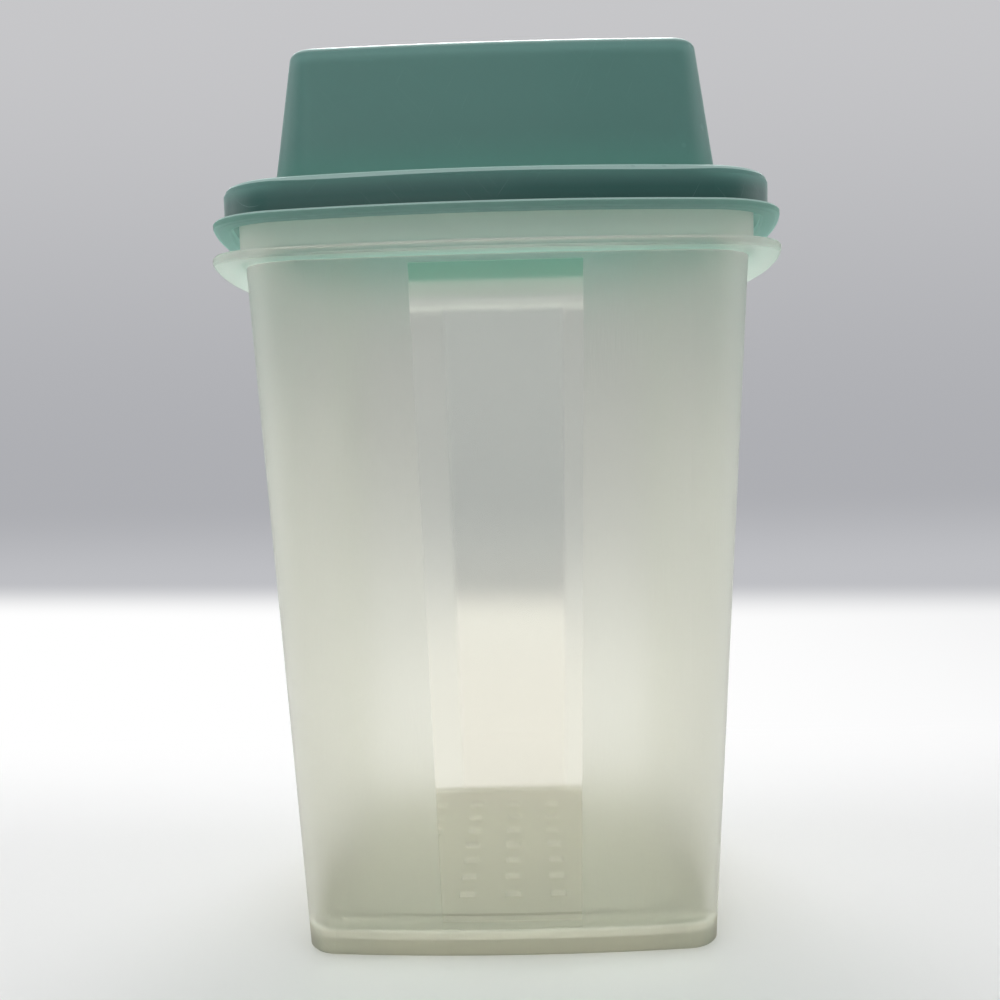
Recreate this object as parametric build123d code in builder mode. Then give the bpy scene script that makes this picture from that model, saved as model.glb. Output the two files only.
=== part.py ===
from build123d import *
from math import atan, degrees, sqrt
import os

os.makedirs("parts", exist_ok=True)

# All sizes are in millimetres. The origin is the middle of the base, on the surface it
# stands on. The front, with one clear strip, faces the negative Y side.

# Driving sizes: the container's body at its foot. A half width is taken at the middle of
# a side, and a bow ratio is the radius that the side curves with over that half width.
base_half = 53.1
base_corner = 8.3
base_bow_ratio = 8.4
body_flare = 9.5
shoulder_height = 168.1
container_wall = 1.7

# Driving sizes: the flange and the neck above it
flange_thickness = 2.1
flange_reach = 9.2
flange_corner = 20.0
flange_bow_ratio = 3.75
edge_bevel = 0.5
neck_step = 0.9
neck_corner = 17.0
neck_bow_ratio = 7.9
neck_rise = 14.2
rim_bead_out = 0.6
rim_bead_height = 3.0

# Driving sizes: the raised floor, the foot under it and the clear strips
floor_top = 5.4
floor_bevel = 2.0
strip_half_low = 17.0
strip_half_high = 20.0
strip_depth = 0.25
strip_end_margin = 1.6

# Driving sizes: the lid
lid_wall = 1.6
plate_reach = 5.5
plate_corner = 19.0
plate_bow_ratio = 3.7
plate_bevel = 1.5
plate_easing = 0.6
lip_reach = 2.7
lip_thickness = 2.0
tower_rise = 32.8
tower_lean = 4.9
tower_corner = 11.5
tower_bow_ratio = 11.0
tower_round = 2.2
plug_wall = 1.4
plug_lead = 0.5
seal_bead_out = 0.2
seal_bead_height = 1.2

# Driving sizes: the strainer tray
tray_thickness = 1.5
tray_rim_rise = 0.9
tray_rim_wall = 1.4
tray_foot_height = 1.2
tray_foot_side = 5.0
hole_side = 4.0
hole_rows = 7
socket_wall = 1.5
socket_height = 8.0
snap_width = 7.0
snap_height = 3.0
snap_out = 0.7

# Driving sizes: the lift handle
handle_width = 24.0
handle_web = 2.2
handle_rib_wall = 1.6
arm_rib_depth = 4.0
grip_depth = 9.0
grip_outer_round = 12.0
grip_inner_round = 6.0
grip_rib_count = 5
grip_rib_wall = 1.2

# Named clearances
rest_gap = 0.2
seal_gap = 0.4
plug_gap = 0.5
finger_gap = 6.2
tray_gap = 1.2
rim_to_socket_gap = 1.05
socket_gap = 0.15
hole_field_gap = 1.0
arm_gap = 2.1
handle_top_gap = 1.6
cut_past = 1.0
level_reach = 0.01

# Sizes that follow from the ones above: container
base_bow = base_half * base_bow_ratio
shoulder_half = base_half + body_flare
flange_half = shoulder_half + flange_reach
flange_bow = flange_half * flange_bow_ratio
floor_low = floor_top - container_wall
neck_half = shoulder_half + neck_step
neck_bow = neck_half * neck_bow_ratio
neck_low = shoulder_height + flange_thickness
body_draft = degrees(atan(body_flare / shoulder_height))
rim_top = neck_low + neck_rise
bead_low = rim_top - rim_bead_height
strip_low = floor_top + strip_end_margin
strip_high = shoulder_height - strip_end_margin

# Sizes that follow: tray and handle
tray_low = floor_top + rest_gap
tray_plate_low = tray_low + tray_foot_height
tray_plate_top = tray_plate_low + tray_thickness
tray_rim_top = tray_plate_top + tray_rim_rise
tray_inset = container_wall + tray_gap
socket_top = tray_plate_top + socket_height
socket_inset = tray_inset + tray_rim_wall + rim_to_socket_gap + socket_wall
arm_outer = base_half - socket_inset - socket_gap
arm_inner = arm_outer - handle_web
arm_middle = arm_outer - handle_web / 2
arm_low = tray_plate_top + rest_gap
arm_rib_low = socket_top + rest_gap
socket_depth = handle_web + socket_gap * 2
socket_width = handle_width + socket_gap * 2
snap_middle = tray_plate_top + socket_height / 2
hole_field_half = arm_inner - socket_gap - socket_wall - hole_field_gap
hole_pitch = hole_field_half * 2 / hole_rows

# Sizes that follow: lid
plate_low = rim_top + seal_gap
plate_top = plate_low + lid_wall
plate_half = neck_half + plate_reach
plate_bow = plate_half * plate_bow_ratio
lip_low = neck_low + finger_gap
plug_inset = container_wall + plug_gap
tower_half_high = arm_outer + arm_gap + lid_wall
tower_half_low = tower_half_high + tower_lean
tower_bow = tower_half_low * tower_bow_ratio
tower_top = plate_top + tower_rise
tower_draft = degrees(atan(tower_lean / tower_rise))
handle_top = tower_top - lid_wall - handle_top_gap
grip_rib_pitch = (arm_inner - arm_rib_depth) * 2 / (grip_rib_count + 1)


def bowed_square(half, corner, bow, out=0.0):
    """A square with bowed sides and rounded corners, moved outwards everywhere by out."""
    middle = bow - half
    at = (sqrt(2 * (bow + out) ** 2 - middle**2) - middle) / 2
    reach = half + out
    with BuildSketch(Plane.XY) as outline:
        with BuildLine():
            ThreePointArc((-at, -at), (0, -reach), (at, -at))
            ThreePointArc((at, -at), (reach, 0), (at, at))
            ThreePointArc((at, at), (0, reach), (-at, at))
            ThreePointArc((-at, at), (-reach, 0), (-at, -at))
        make_face()
        fillet(outline.vertices(), corner + out)
    return outline.sketch_local


def body_outline(height, inset):
    """The container body's outline at a height, moved in from its outer face by inset."""
    return bowed_square(base_half, base_corner, base_bow, body_flare * height / shoulder_height - inset)


def neck_outline(out):
    """The neck's outline, moved outwards by out."""
    return bowed_square(neck_half, neck_corner, neck_bow, out)


def plate_outline(out):
    """The outline of the lid's plate, moved outwards by out."""
    return bowed_square(plate_half, plate_corner, plate_bow, out)


def tower_outline(height, inset):
    """The lid tower's outline at a height, moved in from its outer face by inset."""
    lean = tower_lean * (height - plate_top) / tower_rise
    return bowed_square(tower_half_low, tower_corner, tower_bow, -lean - inset)


def drafted(outline, low, rise, angle):
    """A solid raised from an outline, its sides leaning outwards by an angle, or inwards if that is below 0."""
    with BuildPart() as raised:
        with BuildSketch(Plane.XY.offset(low)):
            add(outline)
        extrude(amount=rise)
        draft(raised.faces().filter_by(Plane.XY, reverse=True), Plane.XY.offset(low), -angle)
    return raised.part


def edges_at(part, height, within=shoulder_half * 2):
    """Every edge of a part that lies level at one height, inside a square of a half width."""
    level = part.edges().filter_by_position(Axis.Z, height - level_reach, height + level_reach)
    return level.filter_by(lambda edge: edge.bounding_box().max.X < within)


# The skin that the two clear strips are sunk by, cut from the container further down
with BuildPart() as strip_skin:
    add(drafted(body_outline(0, -cut_past), 0, shoulder_height, body_draft))
    add(drafted(body_outline(0, strip_depth), 0, shoulder_height, body_draft), mode=Mode.SUBTRACT)
    with BuildSketch(Plane.XZ):
        with BuildLine():
            Polyline(
                (-strip_half_low, strip_low),
                (strip_half_low, strip_low),
                (strip_half_high, strip_high),
                (-strip_half_high, strip_high),
                close=True,
            )
        make_face()
    extrude(amount=shoulder_half + cut_past * 2, both=True, mode=Mode.INTERSECT)

with BuildPart() as container:
    # Flange with bevelled edges
    with BuildSketch(Plane.XY.offset(shoulder_height)):
        add(bowed_square(flange_half, flange_corner, flange_bow))
    extrude(amount=flange_thickness)
    chamfer(edges_at(container, shoulder_height) + edges_at(container, neck_low), edge_bevel)
    # Tapered body with a bevelled foot, solid at first
    add(drafted(body_outline(0, 0), 0, shoulder_height, body_draft))
    chamfer(edges_at(container, 0), edge_bevel)
    # Neck, with a bead round the rim that the plug skirt stiffens against
    with BuildSketch(Plane.XY.offset(neck_low)):
        add(neck_outline(0))
    extrude(amount=neck_rise)
    with BuildSketch(Plane.XY.offset(bead_low)):
        add(neck_outline(rim_bead_out))
    extrude(amount=rim_bead_height)
    # Hollow inside, above the floor and under it
    room = body_outline(floor_top, container_wall)
    add(drafted(room, floor_top, shoulder_height - floor_top, body_draft), mode=Mode.SUBTRACT)
    with BuildSketch(Plane.XY.offset(shoulder_height)):
        add(neck_outline(-container_wall))
    extrude(amount=rim_top - shoulder_height, mode=Mode.SUBTRACT)
    add(drafted(body_outline(0, container_wall), 0, floor_low, body_draft), mode=Mode.SUBTRACT)
    add(strip_skin.part, mode=Mode.SUBTRACT)
    # Bevel where the floor meets the wall, and a bevelled rim
    chamfer(edges_at(container, floor_top), floor_bevel)
    chamfer(edges_at(container, rim_top), edge_bevel)

container.part.label = "container"
export_step(container.part, "parts/container.step")

with BuildPart() as lid:
    # The lip that runs round the foot of the side wall
    with BuildSketch(Plane.XY.offset(lip_low)):
        add(plate_outline(lip_reach))
    extrude(amount=lip_thickness)
    chamfer(edges_at(lid, lip_low) + edges_at(lid, lip_low + lip_thickness), edge_bevel)
    # Plate with its side wall
    with BuildSketch(Plane.XY.offset(lip_low)):
        add(plate_outline(0))
    extrude(amount=plate_top - lip_low)
    chamfer(edges_at(lid, plate_top), plate_bevel)
    chamfer(edges_at(lid, plate_top) + edges_at(lid, plate_top - plate_bevel), plate_easing)
    # Tower that houses the raised handle
    add(drafted(tower_outline(plate_top, 0), plate_top, tower_rise, -tower_draft))
    fillet(edges_at(lid, tower_top), tower_round)
    # Room inside the side wall
    with BuildSketch(Plane.XY.offset(lip_low)):
        add(plate_outline(-lid_wall))
    extrude(amount=plate_low - lip_low, mode=Mode.SUBTRACT)
    # Plug skirt that goes down into the neck, narrowed at its foot to lead in
    with BuildSketch(Plane.XY.offset(lip_low)):
        add(neck_outline(-plug_inset))
    extrude(amount=plate_low - lip_low)
    chamfer(edges_at(lid, lip_low, neck_half), plug_lead)
    # Bead on the plug that seals on the inside of the neck
    with BuildSketch(Plane.XY.offset(bead_low)):
        add(neck_outline(seal_bead_out - plug_inset))
    extrude(amount=seal_bead_height)
    with BuildSketch(Plane.XY.offset(lip_low)):
        add(neck_outline(-plug_inset - plug_wall))
    extrude(amount=plate_low - lip_low, mode=Mode.SUBTRACT)
    # Hollow of the tower, open downwards
    add(drafted(tower_outline(plate_low, lid_wall), plate_low, tower_rise, -tower_draft), mode=Mode.SUBTRACT)

lid.part.label = "lid"
export_step(lid.part, "parts/lid.step")

with BuildPart() as strainer_tray:
    # Plate with a low rim, standing on small feet
    with BuildSketch(Plane.XY.offset(tray_plate_low)):
        add(body_outline(tray_plate_low, tray_inset))
    extrude(amount=tray_rim_top - tray_plate_low)
    with BuildSketch(Plane.XY.offset(tray_plate_top)):
        add(body_outline(tray_plate_low, tray_inset + tray_rim_wall))
    extrude(amount=tray_rim_rise, mode=Mode.SUBTRACT)
    with BuildSketch(Plane.XY.offset(tray_low)):
        with GridLocations(hole_field_half * 2, hole_field_half * 2, 2, 2):
            Rectangle(tray_foot_side, tray_foot_side)
    extrude(amount=tray_foot_height)
    # A socket for the foot of each handle arm, with a window for the arm's snap
    with BuildSketch(Plane.XY.offset(tray_plate_top)):
        with Locations((arm_middle, 0), (-arm_middle, 0)):
            Rectangle(socket_depth + socket_wall * 2, socket_width + socket_wall * 2)
            Rectangle(socket_depth, socket_width, mode=Mode.SUBTRACT)
    extrude(amount=socket_height)
    with BuildSketch(Plane.YZ):
        with Locations((0, snap_middle)):
            Rectangle(snap_width + socket_gap * 2, snap_height + socket_gap * 2)
    extrude(amount=arm_middle, both=True, mode=Mode.SUBTRACT)
    # Square drain holes
    with BuildSketch(Plane.XY.offset(tray_plate_low)):
        with GridLocations(hole_pitch, hole_pitch, hole_rows, hole_rows):
            Rectangle(hole_side, hole_side)
    extrude(amount=tray_thickness, mode=Mode.SUBTRACT)

strainer_tray.part.label = "strainer_tray"
export_step(strainer_tray.part, "parts/strainer_tray.step")

with BuildPart() as lift_handle:
    # An arch as wide as the handle, solid at first
    with BuildSketch(Plane.XZ) as arch:
        with Locations((0, arm_low)):
            Rectangle(arm_outer * 2, handle_top - arm_low, align=(Align.CENTER, Align.MIN))
        fillet(arch.vertices().group_by(Axis.Y)[-1], grip_outer_round)
    extrude(amount=handle_width / 2, both=True)
    # Room between the edge ribs, leaving the thin web
    with BuildSketch(Plane.XZ) as under_web:
        with Locations((0, arm_low)):
            Rectangle(arm_inner * 2, handle_top - handle_web - arm_low, align=(Align.CENTER, Align.MIN))
        fillet(under_web.vertices().group_by(Axis.Y)[-1], grip_outer_round - handle_web)
    extrude(amount=handle_width / 2 - handle_rib_wall, both=True, mode=Mode.SUBTRACT)
    # Room inside the arch, where the ribs end, wider at the arms' feet for the sockets
    with BuildSketch(Plane.XZ) as hand_room:
        with BuildLine():
            Polyline(
                (-arm_inner, arm_low),
                (arm_inner, arm_low),
                (arm_inner, arm_rib_low),
                (arm_inner - arm_rib_depth, arm_rib_low + arm_rib_depth),
                (arm_inner - arm_rib_depth, handle_top - grip_depth),
                (arm_rib_depth - arm_inner, handle_top - grip_depth),
                (arm_rib_depth - arm_inner, arm_rib_low + arm_rib_depth),
                (-arm_inner, arm_rib_low),
                close=True,
            )
        make_face()
        fillet(hand_room.vertices().group_by(Axis.Y)[-1], grip_inner_round)
    extrude(amount=handle_width / 2, both=True, mode=Mode.SUBTRACT)
    # Cross ribs under the grip
    with BuildSketch(Plane.XY.offset(handle_top - grip_depth)):
        with GridLocations(grip_rib_pitch, 0, grip_rib_count, 1):
            Rectangle(grip_rib_wall, handle_width - handle_rib_wall)
    extrude(amount=grip_depth - handle_web)
    # A snap on the inner face of each foot
    with BuildSketch(Plane.XZ):
        with BuildLine():
            Polyline(
                (arm_inner, snap_middle - snap_height / 2),
                (arm_inner - snap_out, snap_middle + snap_height / 2),
                (arm_inner, snap_middle + snap_height / 2),
                close=True,
            )
        make_face()
        mirror(about=Plane.YZ)
    extrude(amount=snap_width / 2, both=True)

lift_handle.part.label = "lift_handle"
export_step(lift_handle.part, "parts/lift_handle.step")
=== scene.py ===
import math
import bpy
from mathutils import Matrix, Vector


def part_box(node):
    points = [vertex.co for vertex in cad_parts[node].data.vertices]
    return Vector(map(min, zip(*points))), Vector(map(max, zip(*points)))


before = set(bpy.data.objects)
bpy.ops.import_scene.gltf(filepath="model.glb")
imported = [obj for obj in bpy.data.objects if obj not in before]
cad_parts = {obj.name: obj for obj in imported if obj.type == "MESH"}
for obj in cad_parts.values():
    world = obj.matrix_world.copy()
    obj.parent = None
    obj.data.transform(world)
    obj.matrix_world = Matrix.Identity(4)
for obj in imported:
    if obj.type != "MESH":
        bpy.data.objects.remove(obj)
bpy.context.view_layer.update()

bl_info = {
    "name": "Pickle keeper",
    "version": (1, 0, 0),
    "blender": (4, 5, 0),
    "location": "3D View > Sidebar > Keeper",
    "description": "Finishes for a frosted canister with a lid and a lift-out strainer, and its stage",
    "category": "Object",
}

LID_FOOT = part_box("lid")[0][2]

# Nicks that the photograph shows on the lid: place and reach
LID_NICKS = (
    ((0.0496, -0.0475, 0.1982), 0.0012),
    ((0.0444, -0.0518, 0.1932), 0.0008),
    ((0.0470, -0.0461, 0.2175), 0.0007),
    ((0.0531, -0.0685, 0.1784), 0.0014),
    ((0.0310, -0.0665, 0.1858), 0.0008),
    ((0.0380, -0.0654, 0.1858), 0.0007),
)

# Container: where one finish gives way to the next, in metres
STRIP_SIDE_BLUR = 0.0003
STRIP_END_BLUR = 0.0006
STRIP_START = 0.0012
STRIP_WALLS = (0.044, 0.046)
STRIP_TONE = (0.06, 0.11)
LID_SHADE = (0.115, 0.16)
FOOT_EDGE = (0.0005, -0.0015)
FLOOR_EDGE = (0.0505, 0.0495)
NECK_BLUR = 0.002

# Lid: the same, and how far up its surface leans at a rounded edge, where a highlight is painted
LIP_EDGE = (0.0022, 0.0016)
SIDE_EDGE = (-0.0008, -0.0055)
SIDE_REACH = (-0.0045, -0.0035)
EDGE_LEAN = (0.35, 0.9)
LEVEL_LEAN = (0.998, 0.97)
PLATE_GLOW_REACH = 0.012
PLATE_GLOW = 0.2
EDGE_GLOW = 0.05

# Insert: the same
RIM_BLUR = 0.0012

# Below the plastic's real index, with which edges and holes come out darker than in the photograph
WALL_IOR = 1.2
INSERT_IOR = 1.05

# Grain and wear
GRAIN_DEPTH = 0.0002
WALL_BUMP = 0.2
SATIN_BUMP = 0.15
MOTTLE_SPAN = (0.3, 0.7)
FROSTING_SPREAD = (-0.03, 0.03)
HAZE_SPREAD = (-0.02, 0.02)
LID_SPREAD = (-0.04, 0.05)
INSERT_SPREAD = (-0.05, 0.05)
WALL_DRIFT = 0.2
LID_DRIFT = 0.15
INSERT_DRIFT = 0.96
STRIP_POLISH = 0.9
MILK_SENT_BACK = 0.5
SCRATCH_COLOR = (0.97, 0.97, 0.95)
SCRATCH_TURNS = (0.5, -1.1)
SCRATCH_SLANT = 0.6
SCRATCH_EDGE = (0.45, 0.2)
WEAR_ROUGHNESS = 0.2
LID_WEAR = 0.4
WORN_GAIN, WORN_LIFT = 1.6, 0.06
NICK_CORE = 0.4
NICK_DEPTH = -8.0
SHEEN_TINT = (0.85, 1.0, 0.97)

# Share of a lamp's light that passes each surface
WALL_PASSES = 0.93
LID_PASSES = 0.75
INSERT_PASSES = 1.0

# Lamps: name, place, aim, side and watts
LAMPS = (
    ("Lamp_Top", (0.0, 0.0, 1.1), (0.0, 0.0, 0.1), 1.2, 2.8),
    ("Lamp_Back", (0.0, 0.42, 0.62), (0.0, 0.0, 0.1), 0.3, 3.2),
    ("Lamp_Left", (-0.9, 0.05, 0.35), (0.0, 0.0, 0.15), 0.7, 1.0),
    ("Lamp_Right", (0.9, 0.05, 0.35), (0.0, 0.0, 0.15), 0.7, 1.0),
    ("Lamp_Fill", (-0.5, -1.2, 0.7), (0.0, 0.0, 0.1), 1.2, 2.1),
)
SKY_STRENGTH = 0.36

# Sweep: its front edge, half width, height, the bend's radius and the steps round it
SWEEP_FRONT = -1.6
SWEEP_HALF = 2.2
SWEEP_HEIGHT = 1.8
SWEEP_BEND = 0.12
SWEEP_STEPS = 16

# Camera, fitted to the photograph
CAMERA_PLACE = (0.00487, -0.33278, 0.13138)
CAMERA_YAW, CAMERA_PITCH, CAMERA_ROLL = -0.019, -0.0709, -0.0252
CAMERA_LENS = 42.57
CAMERA_SENSOR = 36.0


# Node helpers

def put(tree, kind, inputs=None, **settings):
    """Adds a node, sets its own settings, then fills or links its inputs by name or number."""
    made = tree.nodes.new(kind)
    for name, value in settings.items():
        setattr(made, name, value)
    for name, value in (inputs or {}).items():
        if isinstance(value, bpy.types.NodeSocket):
            tree.links.new(value, made.inputs[name])
        else:
            made.inputs[name].default_value = value
    return made


def sums(tree, operation, first, second=0.0, third=0.0, clamp=False):
    """A Math node's result."""
    made = put(
        tree, "ShaderNodeMath", {0: first, 1: second, 2: third},
        operation=operation, use_clamp=clamp,
    )
    return made.outputs[0]


def ramp(tree, value, low, high, to_low=0.0, to_high=1.0, smooth=True):
    """A value carried from one range to another and kept inside it."""
    made = put(
        tree, "ShaderNodeMapRange",
        {"Value": value, "From Min": low, "From Max": high, "To Min": to_low, "To Max": to_high},
        interpolation_type="SMOOTHSTEP" if smooth else "LINEAR",
    )
    return made.outputs[0]


def blend(tree, factor, first, second):
    """Two colours mixed by a factor."""
    made = put(tree, "ShaderNodeMix", {0: factor, 6: first, 7: second}, data_type="RGBA")
    return made.outputs[2]


def blend_value(tree, factor, first, second):
    """Two values mixed by a factor."""
    return put(tree, "ShaderNodeMix", {0: factor, 2: first, 3: second}).outputs[0]


def noise(tree, vector, scale, detail, roughness):
    """Soft noise from 0 to 1."""
    made = put(
        tree, "ShaderNodeTexNoise",
        {"Vector": vector, "Scale": scale, "Detail": detail, "Roughness": roughness},
    )
    return made.outputs["Fac"]


def own_place(tree):
    """Where a point lies on its piece."""
    return put(tree, "ShaderNodeTexCoord").outputs["Object"]


def axes(tree, vector):
    """A vector's X, Y and Z."""
    return put(tree, "ShaderNodeSeparateXYZ", {0: vector}).outputs


def square_reach(tree, xyz):
    """Half the width of the upright square box that a point lies on."""
    sides = [sums(tree, "ABSOLUTE", xyz[axis]) for axis in "XY"]
    return sums(tree, "MAXIMUM", *sides)


def rounded_reach(tree, xyz):
    """The same for a box with well rounded corners."""
    sides = [sums(tree, "POWER", sums(tree, "ABSOLUTE", xyz[axis]), 4.0) for axis in "XY"]
    return sums(tree, "POWER", sums(tree, "ADD", *sides), 0.25)


def new_group(name, ins, outs):
    """An empty shader node group with named inputs and outputs."""
    tree = bpy.data.node_groups.new(name, "ShaderNodeTree")
    for label, kind, default in ins:
        socket = tree.interface.new_socket(label, in_out="INPUT", socket_type=kind)
        socket.default_value = default
    for label, kind in outs:
        tree.interface.new_socket(label, in_out="OUTPUT", socket_type=kind)
    given = tree.nodes.new("NodeGroupInput").outputs
    return tree, given, tree.nodes.new("NodeGroupOutput").inputs


def moulded_grain():
    """Fine moulded texture and a slow mottle, shared by every plastic here."""
    known = bpy.data.node_groups.get("Moulded_Grain")
    if known:
        return known
    tree, given, result = new_group(
        "Moulded_Grain",
        [
            ("Grain Scale", "NodeSocketFloat", 1800.0),
            ("Draw", "NodeSocketFloat", 1.0),
            ("Mottle Scale", "NodeSocketFloat", 40.0),
        ],
        [("Height", "NodeSocketFloat"), ("Mottle", "NodeSocketFloat")],
    )
    place = own_place(tree)
    along = put(tree, "ShaderNodeCombineXYZ", {"X": 1.0, "Y": 1.0, "Z": given["Draw"]}).outputs[0]
    drawn = put(
        tree, "ShaderNodeVectorMath", {0: place, 1: along}, operation="MULTIPLY",
    ).outputs[0]
    tree.links.new(noise(tree, drawn, given["Grain Scale"], 1.0, 0.6), result["Height"])
    tree.links.new(noise(tree, place, given["Mottle Scale"], 2.0, 0.55), result["Mottle"])
    return tree


def fine_scratches():
    """Sparse straight hairlines in two directions, as washing and shelf use leave them."""
    known = bpy.data.node_groups.get("Fine_Scratches")
    if known:
        return known
    tree, given, result = new_group(
        "Fine_Scratches",
        [
            ("Length", "NodeSocketFloat", 0.012),
            ("Width", "NodeSocketFloat", 0.0001),
            ("Share", "NodeSocketFloat", 0.02),
        ],
        [("Mask", "NodeSocketFloat")],
    )
    # The surface is laid flat first: level runs along the walls, steep runs up them
    xyz = axes(tree, own_place(tree))
    level = sums(tree, "ADD", xyz["X"], xyz["Y"])
    across = sums(tree, "SUBTRACT", xyz["X"], xyz["Y"])
    steep = sums(tree, "MULTIPLY_ADD", across, SCRATCH_SLANT, xyz["Z"])
    flat = put(tree, "ShaderNodeCombineXYZ", {"X": level, "Y": steep}).outputs[0]
    fine = put(
        tree, "ShaderNodeCombineXYZ", {"X": given["Length"], "Y": given["Width"], "Z": 1.0},
    ).outputs[0]
    lines = []
    for turn in SCRATCH_TURNS:
        turned = put(
            tree, "ShaderNodeVectorRotate", {"Vector": flat, "Angle": turn},
            rotation_type="Z_AXIS",
        ).outputs[0]
        shrunk = put(
            tree, "ShaderNodeVectorMath", {0: turned, 1: fine}, operation="DIVIDE",
        ).outputs[0]
        cell = put(
            tree, "ShaderNodeTexVoronoi", {"Vector": shrunk, "Scale": 1.0},
            voronoi_dimensions="2D",
        ).outputs
        draw = put(tree, "ShaderNodeSeparateColor", {0: cell["Color"]}).outputs[0]
        chosen = sums(tree, "LESS_THAN", draw, given["Share"])
        core = ramp(tree, cell["Distance"], *SCRATCH_EDGE)
        lines.append(sums(tree, "MULTIPLY", chosen, core))
    tree.links.new(sums(tree, "MAXIMUM", *lines), result["Mask"])
    return tree


def group_node(tree, group, **inputs):
    """A group placed in a material with its own values."""
    made = tree.nodes.new("ShaderNodeGroup")
    made.node_tree = group
    for name, value in inputs.items():
        made.inputs[name.replace("_", " ")].default_value = value
    return made.outputs


def new_material(name):
    """A node material with its Principled shader, ready for links."""
    made = bpy.data.materials.new(name)
    made.use_nodes = True
    tree = made.node_tree
    return made, tree, tree.nodes["Principled BSDF"]


def dress(node_name, material):
    """Gives a CAD node its finish."""
    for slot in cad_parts[node_name].material_slots:
        slot.material = material


def rgb(color):
    """A colour as a socket takes it."""
    return (color[0], color[1], color[2], 1.0)


# Finishes

def mottled(tree, grain, level, spread):
    """A level that drifts with the plastic's mottle, by as much as the spread says."""
    low, high = spread
    return ramp(tree, grain["Mottle"], *MOTTLE_SPAN, level + low, level + high)


def add_bump(tree, shader, height, strength):
    """Turns a height into the shader's normal."""
    bump = put(
        tree, "ShaderNodeBump", {"Height": height, "Strength": strength, "Distance": GRAIN_DEPTH},
    )
    tree.links.new(bump.outputs[0], shader.inputs["Normal"])


def show(tree, shader):
    """Makes a shader the one that the material shows."""
    tree.links.new(shader.outputs[0], tree.nodes["Material Output"].inputs["Surface"])


def mix_shaders(tree, share, first, second):
    """Two shaders mixed by a share of the second."""
    return put(tree, "ShaderNodeMixShader", {0: share, 1: first.outputs[0], 2: second.outputs[0]})


def let_lamps_through(tree, shader, tint, share):
    """Thin plastic lets light into the keeper, so a share of the rays to lamps pass, tinted."""
    clear = put(tree, "ShaderNodeBsdfTransparent", {"Color": rgb(tint)})
    to_lamp = put(tree, "ShaderNodeLightPath").outputs["Is Shadow Ray"]
    show(tree, mix_shaders(tree, sums(tree, "MULTIPLY", to_lamp, share), shader, clear))


def strip_mask(tree, look, xyz):
    """1 on the clear strips in the front and back walls, 0 on the frosted rest."""
    half = ramp(
        tree, xyz["Z"], look.strip_low, look.strip_high,
        look.strip_half_low, look.strip_half_high, False,
    )
    edge = sums(tree, "SUBTRACT", half, sums(tree, "ABSOLUTE", xyz["X"]))
    across = ramp(tree, edge, -STRIP_SIDE_BLUR, STRIP_SIDE_BLUR)
    walls = ramp(tree, sums(tree, "ABSOLUTE", xyz["Y"]), *STRIP_WALLS)
    below = ramp(tree, xyz["Z"], look.strip_high + STRIP_END_BLUR, look.strip_high)
    start = look.strip_low + STRIP_START
    above = ramp(tree, xyz["Z"], start, start + STRIP_END_BLUR)
    return sums(
        tree, "MULTIPLY",
        sums(tree, "MULTIPLY", across, walls), sums(tree, "MULTIPLY", below, above),
    )


def container_shade(tree, look, xyz, mottle, strip, foot):
    """The container's colour: frosted walls with painted shade under the lid, clear strips, and a
    raised floor and foot with painted shade.
    """
    in_shade = ramp(tree, xyz["Z"], *LID_SHADE)
    frosted = blend(tree, in_shade, rgb(look.frosted_color), rgb(look.frosted_high_color))
    drift = sums(tree, "MULTIPLY", mottle, WALL_DRIFT)
    frosted = blend(tree, drift, frosted, rgb(look.frosted_high_color))
    near_lid = ramp(tree, xyz["Z"], *STRIP_TONE)
    clear = blend(tree, near_lid, rgb(look.strip_color), rgb(look.strip_high_color))
    walls = blend(tree, strip, frosted, clear)
    # Painted shade: the raised floor is darker under the strainer, and the foot is darker around the
    # closed space under the floor
    inside = ramp(tree, square_reach(tree, xyz), *FLOOR_EDGE)
    low = blend(tree, inside, rgb(look.foot_shade_color), rgb(look.floor_shade_color))
    return blend(tree, foot, walls, low)


def container_milk(tree, look, height, strip, foot):
    """The milky part of the container's plastic, and its share over the surface."""
    # The foot scatters its darker colour too, painted shade of the closed space under the floor
    color = blend(tree, foot, rgb(look.frosted_color), rgb(look.foot_shade_color))
    let_through = put(tree, "ShaderNodeBsdfTranslucent", {"Color": color})
    sent_back = put(tree, "ShaderNodeBsdfDiffuse", {"Color": color})
    milk = mix_shaders(tree, MILK_SENT_BACK, let_through, sent_back)
    backfacing = put(tree, "ShaderNodeNewGeometry").outputs["Backfacing"]
    outside = sums(tree, "SUBTRACT", 1.0, backfacing)
    share = ramp(
        tree, height, look.neck_low, look.neck_low + NECK_BLUR,
        look.milkiness, look.neck_milkiness,
    )
    share = blend_value(tree, foot, share, look.foot_milkiness)
    share = blend_value(tree, strip, share, look.strip_milkiness)
    return milk, sums(tree, "MULTIPLY", outside, share)


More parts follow.
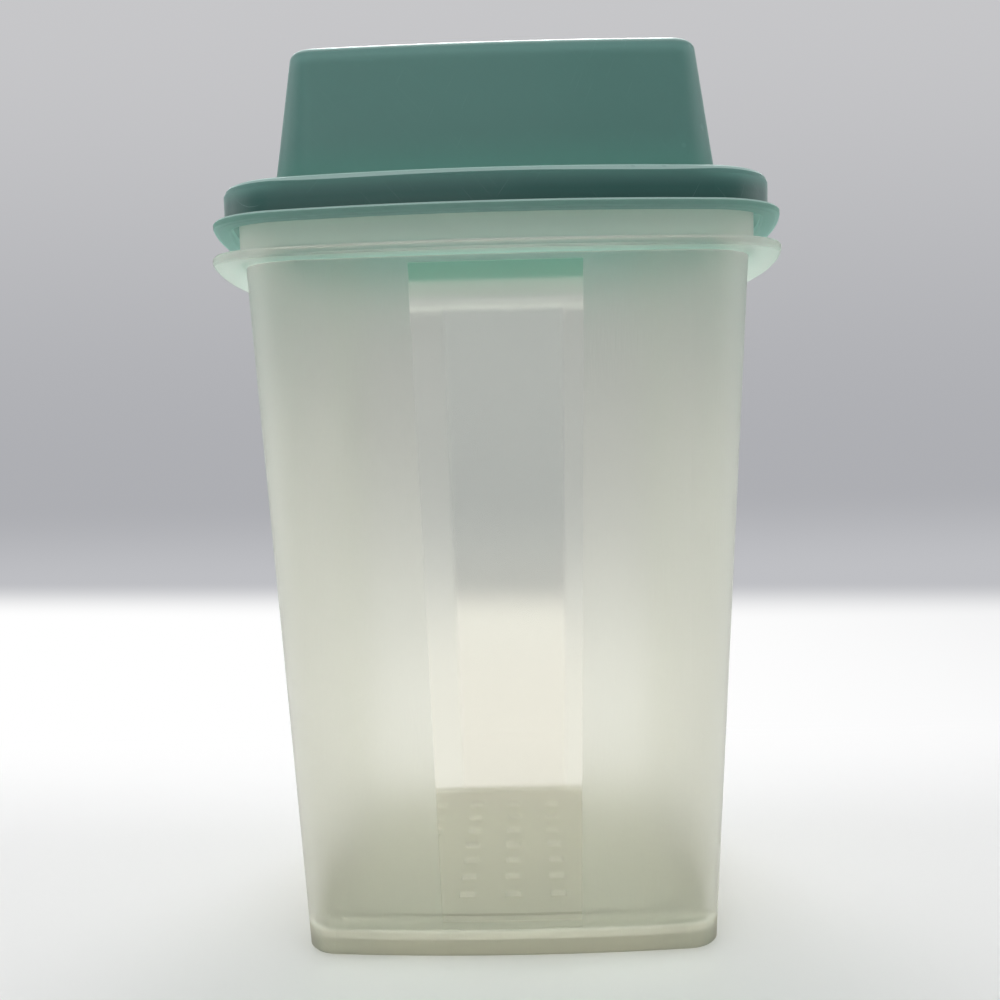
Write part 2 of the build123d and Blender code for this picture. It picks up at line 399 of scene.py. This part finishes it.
def frosted_plastic(look):
    """Natural frosted plastic with a polished strip in the front and back walls."""
    made, tree, shader = new_material("Frosted_Plastic")
    grain = group_node(
        tree, moulded_grain(), Grain_Scale=2200.0, Draw=0.06, Mottle_Scale=22.0,
    )
    marks = group_node(tree, fine_scratches(), Length=0.011, Width=0.0001, Share=0.002)
    xyz = axes(tree, own_place(tree))
    strip = strip_mask(tree, look, xyz)
    foot = ramp(tree, xyz["Z"], *(look.strip_low + edge for edge in FOOT_EDGE))
    textured = sums(tree, "MULTIPLY_ADD", strip, -STRIP_POLISH, 1.0)
    scratched = sums(tree, "MULTIPLY", marks["Mask"], textured)
    shade = container_shade(tree, look, xyz, grain["Mottle"], strip, foot)
    shade = blend(tree, scratched, shade, rgb(SCRATCH_COLOR))
    tree.links.new(shade, shader.inputs["Base Color"])
    rough = mottled(tree, grain, look.frosted_roughness, FROSTING_SPREAD)
    hazy = mottled(tree, grain, look.strip_roughness, HAZE_SPREAD)
    rough = blend_value(tree, strip, rough, hazy)
    worn = sums(tree, "MULTIPLY_ADD", scratched, WEAR_ROUGHNESS, rough)
    tree.links.new(worn, shader.inputs["Roughness"])
    add_bump(tree, shader, sums(tree, "MULTIPLY", grain["Height"], textured), WALL_BUMP)
    shader.inputs["Transmission Weight"].default_value = look.clearness
    shader.inputs["IOR"].default_value = WALL_IOR
    milk, share = container_milk(tree, look, xyz["Z"], strip, foot)
    mixed = mix_shaders(tree, share, shader, milk)
    let_lamps_through(tree, mixed, look.lamp_tint, WALL_PASSES)
    return made


def lid_nicks(tree, place):
    """1 in the nicks, 0 elsewhere."""
    nicks = None
    for spot, size in LID_NICKS:
        apart = put(tree, "ShaderNodeVectorMath", {0: place, 1: spot}, operation="DISTANCE")
        nick = ramp(tree, apart.outputs["Value"], size, size * NICK_CORE)
        nicks = nick if nicks is None else sums(tree, "MAXIMUM", nicks, nick)
    return nicks


def lid_parts(tree, look, xyz):
    """Masks of the outer side wall, which gets painted shade, of the lip with the inner walls, which
    get painted light, and of rounded edges, which get a painted highlight.
    """
    lip = ramp(tree, xyz["Z"], *(LID_FOOT + edge for edge in LIP_EDGE))
    below = ramp(tree, xyz["Z"], *(look.side_top + edge for edge in SIDE_EDGE))
    reach = rounded_reach(tree, xyz)
    outer = ramp(tree, reach, *(look.side_half + edge for edge in SIDE_REACH))
    side = sums(tree, "MULTIPLY", below, outer)
    inner = sums(tree, "MULTIPLY", below, sums(tree, "SUBTRACT", 1.0, outer))
    thin = sums(tree, "MAXIMUM", lip, inner)
    lean = axes(tree, put(tree, "ShaderNodeTexCoord").outputs["Normal"])["Z"]
    rounded = sums(
        tree, "MULTIPLY", ramp(tree, lean, *EDGE_LEAN), ramp(tree, lean, *LEVEL_LEAN),
    )
    return side, thin, rounded


def lid_plastic(look):
    """Soft coloured plastic with painted shade on its side wall, painted light on its thin lip and
    inner walls, a painted highlight on its rounded edges, and nicks where lids get knocked.
    """
    made, tree, shader = new_material("Lid_Plastic")
    grain = group_node(tree, moulded_grain(), Grain_Scale=1500.0, Draw=0.7, Mottle_Scale=30.0)
    marks = group_node(tree, fine_scratches(), Length=0.010, Width=0.0001, Share=0.005)
    place = own_place(tree)
    xyz = axes(tree, place)
    side, thin, rounded = lid_parts(tree, look, xyz)
    nicks = lid_nicks(tree, place)

    # Painted shade on the outer side wall
    tone = blend(tree, side, rgb(look.color), rgb(look.shaded_side_color))
    # Painted light on the thin lip and inner walls
    tone = blend(tree, thin, tone, rgb(look.lit_lip_color))
    # The mottle drifts at random towards the shaded side colour
    drift = sums(tree, "MULTIPLY", grain["Mottle"], LID_DRIFT)
    tone = blend(tree, drift, tone, rgb(look.shaded_side_color))
    # Painted highlight on the rounded edges
    tone = blend(tree, rounded, tone, rgb(look.edge_highlight_color))
    worn = sums(tree, "ADD", nicks, marks["Mask"], clamp=True)
    worn = sums(tree, "MULTIPLY", worn, LID_WEAR)
    pale = [min(1.0, c * WORN_GAIN + WORN_LIFT) for c in look.color]
    tree.links.new(blend(tree, worn, tone, rgb(pale)), shader.inputs["Base Color"])

    rough = mottled(tree, grain, look.roughness, LID_SPREAD)
    rough = sums(tree, "MULTIPLY_ADD", worn, WEAR_ROUGHNESS, rough)
    tree.links.new(rough, shader.inputs["Roughness"])
    scratched = sums(tree, "SUBTRACT", grain["Height"], marks["Mask"])
    dents = sums(tree, "MULTIPLY_ADD", nicks, NICK_DEPTH, scratched)
    add_bump(tree, shader, dents, SATIN_BUMP)
    shader.inputs["Coat Weight"].default_value = look.gloss
    shader.inputs["Coat Roughness"].default_value = 0.16
    shader.inputs["Sheen Weight"].default_value = look.edge_light
    shader.inputs["Sheen Roughness"].default_value = 0.3
    shader.inputs["Sheen Tint"].default_value = rgb(SHEEN_TINT)

    near_plate = ramp(tree, xyz["Z"], look.side_top + PLATE_GLOW_REACH, look.side_top)
    glow = sums(tree, "MULTIPLY_ADD", near_plate, PLATE_GLOW, look.glow)
    for mask, level in ((side, look.side_glow), (thin, look.lip_glow), (rounded, EDGE_GLOW)):
        glow = blend_value(tree, mask, glow, level)
    lit = blend(tree, thin, rgb(look.glow_color), rgb(look.lip_glow_color))
    shining = put(tree, "ShaderNodeBsdfTranslucent", {"Color": lit})
    mixed = mix_shaders(tree, glow, shader, shining)
    let_lamps_through(tree, mixed, look.lamp_tint, LID_PASSES)
    return made


def insert_plastic(look):
    """Nearly clear plastic of the strainer and its handle, milkier in the strainer's rim."""
    made, tree, shader = new_material("Insert_Plastic")
    grain = group_node(tree, moulded_grain(), Grain_Scale=1800.0, Draw=0.5, Mottle_Scale=45.0)
    marks = group_node(tree, fine_scratches(), Length=0.009, Width=0.00012, Share=0.01)
    darker = [c * INSERT_DRIFT for c in look.color]
    base = blend(tree, grain["Mottle"], rgb(look.color), rgb(darker))
    base = blend(tree, marks["Mask"], base, rgb(SCRATCH_COLOR))
    tree.links.new(base, shader.inputs["Base Color"])
    rough = mottled(tree, grain, look.roughness, INSERT_SPREAD)
    tree.links.new(rough, shader.inputs["Roughness"])
    add_bump(tree, shader, grain["Height"], SATIN_BUMP)
    shader.inputs["Transmission Weight"].default_value = look.clearness
    shader.inputs["IOR"].default_value = INSERT_IOR
    reach = square_reach(tree, axes(tree, own_place(tree)))
    rim = ramp(tree, reach, look.rim_half - RIM_BLUR, look.rim_half)
    share = blend_value(tree, rim, look.milkiness, look.rim_milkiness)
    milk = put(tree, "ShaderNodeBsdfTranslucent", {"Color": rgb(look.rim_color)})
    mixed = mix_shaders(tree, share, shader, milk)
    let_lamps_through(tree, mixed, look.lamp_tint, INSERT_PASSES)
    return made


def stage_paper(look):
    """Pale paper that looks brighter behind the keeper, where the photograph's light falls."""
    made, tree, shader = new_material("Stage_Paper")
    xyz = axes(tree, own_place(tree))
    behind = ramp(tree, xyz["Y"], look.glow_start, look.glow_end)
    level = sums(tree, "MULTIPLY_ADD", xyz["X"], look.wall_tilt, xyz["Z"])
    up = ramp(tree, level, 0.0, look.wall_fade)
    high = ramp(tree, xyz["Z"], look.wall_dark_at, look.wall_light_at)
    near = ramp(tree, xyz["Z"], look.wall_dark_at, look.wall_fade)
    wall = blend(tree, high, rgb(look.wall_color), rgb(look.wall_high_color))
    wall = blend(tree, near, wall, rgb(look.wall_near_color))
    tint = blend(tree, up, rgb(look.floor_color), wall)
    tree.links.new(tint, shader.inputs["Base Color"])
    shader.inputs["Roughness"].default_value = 0.9
    shader.inputs["Specular IOR Level"].default_value = 0.2

    seen = blend(tree, up, rgb(look.bright_color), wall)
    veil = put(tree, "ShaderNodeEmission", {"Color": seen, "Strength": 1.0})
    rays = put(tree, "ShaderNodeLightPath").outputs
    direct = sums(tree, "ADD", rays["Is Camera Ray"], rays["Is Glossy Ray"])
    looked_at = sums(tree, "ADD", direct, rays["Is Transmission Ray"], clamp=True)
    show(tree, mix_shaders(tree, sums(tree, "MULTIPLY", looked_at, behind), shader, veil))
    return made


# Properties

def color_setting(label, note, default):
    """A colour that a user may change."""
    return bpy.props.FloatVectorProperty(
        name=label, description=note, subtype="COLOR",
        size=3, min=0.0, max=1.0, default=default,
    )


def share_setting(label, note, default):
    """A share from 0 to 1 that a user may change."""
    return bpy.props.FloatProperty(
        name=label, description=note, subtype="FACTOR", min=0.0, max=1.0, default=default,
    )


def length_setting(label, note, default):
    """A length that a user may change."""
    return bpy.props.FloatProperty(name=label, description=note, unit="LENGTH", default=default)


class ContainerLook(bpy.types.PropertyGroup):
    frosted_color: color_setting(
        "Frosted colour", "Colour of the frosted walls", (0.945, 0.943, 0.89))
    frosted_high_color: color_setting(
        "Frosted colour, high", "The same in the lid's shade", (0.865, 0.865, 0.825))
    # Painted shade: the raised floor is darker where the strainer above it shades it
    floor_shade_color: color_setting(
        "Floor colour", "Colour of the container's raised floor", (0.60, 0.62, 0.545))
    # Painted shade: the foot is darker, as the closed space under the raised floor is in shade
    foot_shade_color: color_setting(
        "Foot colour", "Colour of the foot below the floor", (0.66, 0.635, 0.55))
    strip_color: color_setting(
        "Strip colour", "Colour of the clear strips, low down", (0.965, 0.95, 0.89))
    strip_high_color: color_setting(
        "Strip colour, high", "The same nearer to the lid", (0.955, 0.965, 0.925))
    lamp_tint: color_setting(
        "Light passed", "Tint of lamp light that the walls let through", (0.955, 0.955, 0.93))
    clearness: share_setting(
        "Clearness", "Share of light that the clear plastic lets through", 0.97)
    milkiness: share_setting(
        "Milkiness", "Share of light that the frosted walls scatter", 0.06)
    strip_milkiness: share_setting(
        "Strip milkiness", "Share of light that the clear strips scatter", 0.08)
    neck_milkiness: share_setting(
        "Neck milkiness", "Share of light that the neck scatters", 0.65)
    foot_milkiness: share_setting(
        "Foot milkiness", "Share of light that the foot below the floor scatters", 0.4)
    frosted_roughness: share_setting("Frosting", "Roughness of the frosted walls", 0.54)
    strip_roughness: share_setting("Strip haze", "Roughness of the clear strips", 0.12)
    neck_low: length_setting("Neck foot", "Height where the neck starts", 0.1702)
    strip_low: length_setting("Strip foot", "Height where the clear strips start", 0.007)
    strip_high: length_setting("Strip head", "Height where the clear strips end", 0.1665)
    strip_half_low: length_setting(
        "Strip half width, foot", "Half width of a strip at its foot", 0.017)
    strip_half_high: length_setting(
        "Strip half width, head", "Half width of a strip at its head", 0.02)


class LidLook(bpy.types.PropertyGroup):
    color: color_setting("Lid colour", "Colour of the lid's plastic", (0.13, 0.248, 0.24))
    # Painted shade: the side wall is darker, as the dark neck behind it shades it
    shaded_side_color: color_setting(
        "Side colour", "Colour of the side wall, with the dark neck behind it", (0.02, 0.115, 0.10))
    # Painted light: the thin lip and inner walls are lighter, as if lit from both sides
    lit_lip_color: color_setting(
        "Lip colour", "Colour of the lip at the lid's foot", (0.17, 0.30, 0.27))
    # Painted highlight: the rounded edges are lighter, as where they catch the light
    edge_highlight_color: color_setting(
        "Edge colour", "Colour of the rounded edges, where light comes through", (0.52, 0.77, 0.72))
    glow_color: color_setting(
        "Glow colour", "Colour of the light that the thin lid lets through", (0.46, 0.70, 0.67))
    lip_glow_color: color_setting(
        "Lip glow colour", "Colour of the light that the lip lets through", (0.70, 0.88, 0.84))
    lamp_tint: color_setting(
        "Light passed", "Tint of lamp light that the lid lets through", (0.58, 0.77, 0.70))
    glow: share_setting("Glow", "Share of the lid's look that is light let through", 0.35)
    side_glow: share_setting(
        "Side glow", "The same share on the side wall, which lies close to the neck", 0.06)
    lip_glow: share_setting("Lip glow", "The same share on the lip at the lid's foot", 0.75)
    edge_light: share_setting(
        "Edge light", "Lightness of the plastic where it turns away from the eye", 0.9)
    roughness: share_setting("Roughness", "Roughness of the lid's surface", 0.4)
    gloss: share_setting("Gloss", "Strength of the lid's thin gloss, which lights its edges", 0.3)
    side_half: length_setting("Side wall half", "Half width across the lid's side wall", 0.069)
    side_top: length_setting("Side wall top", "Height where the lid's side wall ends", 0.1864)


class InsertLook(bpy.types.PropertyGroup):
    color: color_setting(
        "Insert colour", "Colour of the strainer and its handle", (0.985, 0.985, 0.965))
    rim_color: color_setting(
        "Rim colour", "Colour that the rim's plastic scatters", (0.60, 0.60, 0.53))
    lamp_tint: color_setting(
        "Light passed", "Tint of lamp light that the insert lets through", (0.99, 0.99, 0.985))
    clearness: share_setting(
        "Clearness", "Share of light that the insert's plastic lets through", 0.97)
    milkiness: share_setting(
        "Milkiness", "Share of light that the insert's plastic scatters", 0.05)
    rim_milkiness: share_setting("Rim milkiness", "The same on the strainer's upright rim", 0.6)
    roughness: share_setting("Roughness", "Roughness of the strainer and its handle", 0.45)
    rim_half: length_setting("Rim half", "Half width across the strainer, inside its rim", 0.049)


class StageLook(bpy.types.PropertyGroup):
    floor_color: color_setting("Floor colour", "Colour of the floor", (0.84, 0.84, 0.84))
    bright_color: color_setting(
        "Bright floor", "Colour of the floor behind the keeper", (1.0, 1.0, 1.0))
    wall_color: color_setting(
        "Backdrop colour", "Colour of the backdrop near the floor", (0.42, 0.425, 0.45))
    wall_near_color: color_setting(
        "Backdrop, low", "Colour of the backdrop where it meets the floor", (0.52, 0.525, 0.55))
    wall_high_color: color_setting(
        "Backdrop, high", "Colour of the backdrop high up", (0.57, 0.57, 0.585))
    floor_reach: length_setting("Floor reach", "Distance from the keeper to the backdrop", 0.52)
    glow_start: length_setting(
        "Bright floor start", "Where the floor starts to look brighter", 0.02)
    glow_end: length_setting(
        "Bright floor end", "Where the floor has its full brightness", 0.15)
    wall_fade: length_setting(
        "Backdrop fade", "Height over which the floor turns into the backdrop", 0.019)
    wall_tilt: bpy.props.FloatProperty(
        name="Fade tilt", description="Rise of that fade along X", default=0.018)
    wall_dark_at: length_setting(
        "Backdrop dark", "Height where the backdrop is darkest", 0.075)
    wall_light_at: length_setting(
        "Backdrop light", "Height where the backdrop is lightest", 0.45)


# Operators

class KEEPER_OT_dress_container(bpy.types.Operator):
    """Finish the container in frosted plastic with its clear strips"""
    bl_idname = "keeper.dress_container"
    bl_label = "Container"

    def execute(self, context):
        dress("container", frosted_plastic(context.scene.keeper_container))
        return {"FINISHED"}


class KEEPER_OT_dress_lid(bpy.types.Operator):
    """Finish the lid in soft coloured plastic"""
    bl_idname = "keeper.dress_lid"
    bl_label = "Lid"

    def execute(self, context):
        dress("lid", lid_plastic(context.scene.keeper_lid))
        return {"FINISHED"}


class KEEPER_OT_dress_insert(bpy.types.Operator):
    """Finish the strainer tray and its handle"""
    bl_idname = "keeper.dress_insert"
    bl_label = "Strainer and handle"

    def execute(self, context):
        plastic = insert_plastic(context.scene.keeper_insert)
        dress("strainer_tray", plastic)
        dress("lift_handle", plastic)
        return {"FINISHED"}


class KEEPER_OT_build_stage(bpy.types.Operator):
    """Build the floor, the backdrop, the lamps and the camera"""
    bl_idname = "keeper.build_stage"
    bl_label = "Stage"

    def execute(self, context):
        self.add_sweep(context)
        self.add_lamps(context)
        self.add_camera(context)
        self.set_world(context)
        return {"FINISHED"}

    def add_sweep(self, context):
        """A floor that curves up into a backdrop."""
        look = context.scene.keeper_stage
        bend_start = look.floor_reach - SWEEP_BEND
        line = [(SWEEP_FRONT, 0.0), (bend_start, 0.0)]
        for step in range(1, SWEEP_STEPS + 1):
            turn = math.pi / 2 * step / SWEEP_STEPS
            along = bend_start + SWEEP_BEND * math.sin(turn)
            line.append((along, SWEEP_BEND - SWEEP_BEND * math.cos(turn)))
        line.append((look.floor_reach, SWEEP_HEIGHT))
        points = [(x, y, z) for y, z in line for x in (-SWEEP_HALF, SWEEP_HALF)]
        faces = [(2 * i, 2 * i + 1, 2 * i + 3, 2 * i + 2) for i in range(len(line) - 1)]
        mesh = bpy.data.meshes.new("Stage_Sweep")
        mesh.from_pydata(points, [], faces)
        for face in mesh.polygons:
            face.use_smooth = True
        sweep = bpy.data.objects.new("Stage_Sweep", mesh)
        context.scene.collection.objects.link(sweep)
        mesh.materials.append(stage_paper(look))

    def add_lamps(self, context):
        """Soft lamps: overhead, behind, at both sides, and a fill in front."""
        for name, place, aim, size, power in LAMPS:
            lamp = bpy.data.lights.new(name, "AREA")
            lamp.shape = "SQUARE"
            lamp.size = size
            lamp.energy = power
            holder = bpy.data.objects.new(name, lamp)
            holder.location = place
            way = Vector(aim) - Vector(place)
            holder.rotation_euler = way.to_track_quat("-Z", "Y").to_euler()
            context.scene.collection.objects.link(holder)

    def add_camera(self, context):
        """The camera at the photograph's place, a little above the middle and looking down."""
        yaw, pitch, roll = CAMERA_YAW, CAMERA_PITCH, CAMERA_ROLL
        ahead = Vector((
            math.sin(yaw) * math.cos(pitch), math.cos(yaw) * math.cos(pitch), math.sin(pitch),
        ))
        level = Vector((math.cos(yaw), -math.sin(yaw), 0.0))
        upward = level.cross(ahead)
        right = math.cos(roll) * level + math.sin(roll) * upward
        up = -math.sin(roll) * level + math.cos(roll) * upward
        data = bpy.data.cameras.new("Camera")
        data.sensor_width = CAMERA_SENSOR
        data.lens = CAMERA_LENS
        data.clip_start = 0.01
        camera = bpy.data.objects.new("Camera", data)
        turn = Matrix((right, up, -ahead)).transposed()
        camera.matrix_world = Matrix.Translation(CAMERA_PLACE) @ turn.to_4x4()
        context.scene.collection.objects.link(camera)
        context.scene.camera = camera

    def set_world(self, context):
        """An even white sky."""
        world = bpy.data.worlds.new("Stage_World")
        world.use_nodes = True
        ground = world.node_tree.nodes["Background"]
        ground.inputs["Color"].default_value = (1.0, 1.0, 1.0, 1.0)
        ground.inputs["Strength"].default_value = SKY_STRENGTH
        context.scene.world = world


class KEEPER_PT_pieces(bpy.types.Panel):
    """Lists the pieces and their settings"""
    bl_label = "Pickle keeper"
    bl_idname = "KEEPER_PT_pieces"
    bl_space_type = "VIEW_3D"
    bl_region_type = "UI"
    bl_category = "Keeper"

    def draw(self, context):
        for group, operator in zip(GROUPS, OPERATORS):
            box = self.layout.box()
            settings = getattr(context.scene, group)
            for name in settings.bl_rna.properties.keys():
                if name not in {"rna_type", "name"}:
                    box.prop(settings, name)
            box.operator(operator.bl_idname)


# One group of settings for each operator, in the same order
GROUPS = {
    "keeper_container": ContainerLook,
    "keeper_lid": LidLook,
    "keeper_insert": InsertLook,
    "keeper_stage": StageLook,
}
OPERATORS = (
    KEEPER_OT_dress_container,
    KEEPER_OT_dress_lid,
    KEEPER_OT_dress_insert,
    KEEPER_OT_build_stage,
)


def register():
    for name, group in GROUPS.items():
        bpy.utils.register_class(group)
        setattr(bpy.types.Scene, name, bpy.props.PointerProperty(type=group))
    for operator in OPERATORS:
        bpy.utils.register_class(operator)
    bpy.utils.register_class(KEEPER_PT_pieces)


def unregister():
    bpy.utils.unregister_class(KEEPER_PT_pieces)
    for operator in reversed(OPERATORS):
        bpy.utils.unregister_class(operator)
    for name, group in reversed(GROUPS.items()):
        delattr(bpy.types.Scene, name)
        bpy.utils.unregister_class(group)


def main():
    register()
    bpy.context.scene.view_settings.view_transform = "Standard"
    for name in ("dress_container", "dress_lid", "dress_insert", "build_stage"):
        getattr(bpy.ops.keeper, name)()


if __name__ == "__main__":
    main()
